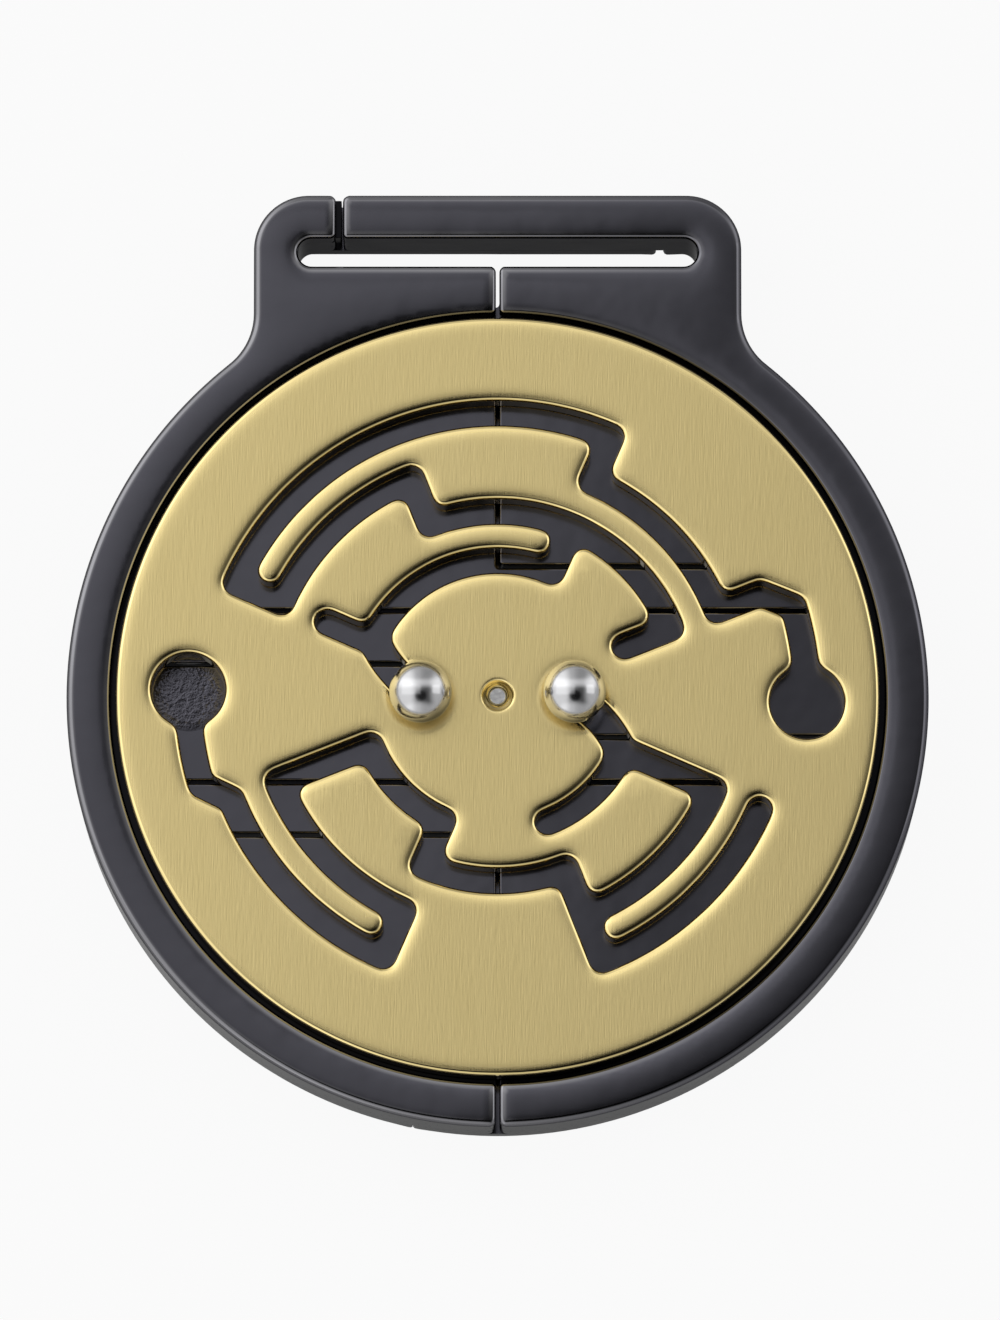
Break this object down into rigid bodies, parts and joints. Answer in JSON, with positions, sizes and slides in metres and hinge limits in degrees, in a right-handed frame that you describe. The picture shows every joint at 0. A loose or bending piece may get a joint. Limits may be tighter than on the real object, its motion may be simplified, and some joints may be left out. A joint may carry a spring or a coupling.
{
  "type": "take-apart cast metal puzzle",
  "caption": "Medal-shaped cast metal puzzle: a gold labyrinth disc turns in the round pocket of a black frame whose two interlocking halves slide apart on ball-headed posts.",
  "frame": {"origin": "middle of the footprint, on the plane of the back that the puzzle rests on", "axes": "+Z out of the front face, the way the balls stand; +Y towards the strap slot; +X towards the half that carries the long strap bar"},
  "size_m": [0.0608, 0.0662, 0.0131],
  "materials": {
    "frame": "black nickel plate, gloss",
    "disc": "gold plate, brushed face, polished edges",
    "pin": "plain turned steel",
    "ball": "polished chrome"
  },
  "bodies": {
    "left_frame": {"left_half": "frame", "left_post": "pin", "left_ball": "ball"},
    "right_frame": {"right_half": "frame", "right_post": "pin", "right_ball": "ball"},
    "pivot": {"centre_pin": "pin"},
    "disc": {"maze_disc": "disc"}
  },
  "joints": [
    {"name": "pivot_slide", "type": "slide", "parent": "left_frame", "child": "pivot", "axis": [1, 0, 0], "range_m": [0, 0.0042]},
    {"name": "half_slide", "type": "slide", "parent": "left_frame", "child": "right_frame", "axis": [1, 0, 0], "range_m": [0, 0.0084]},
    {"name": "disc_turn", "type": "hinge", "parent": "pivot", "child": "disc", "pos_m": [0, -0.0027, 0.0072], "axis": [0, 0, 1], "range_deg": [0, 23]}
  ],
  "couplings": [
    {"joint": "pivot_slide", "follows": "disc_turn", "m_per_rad": 0.010438},
    {"joint": "half_slide", "follows": "disc_turn", "m_per_rad": 0.020876}
  ]
}
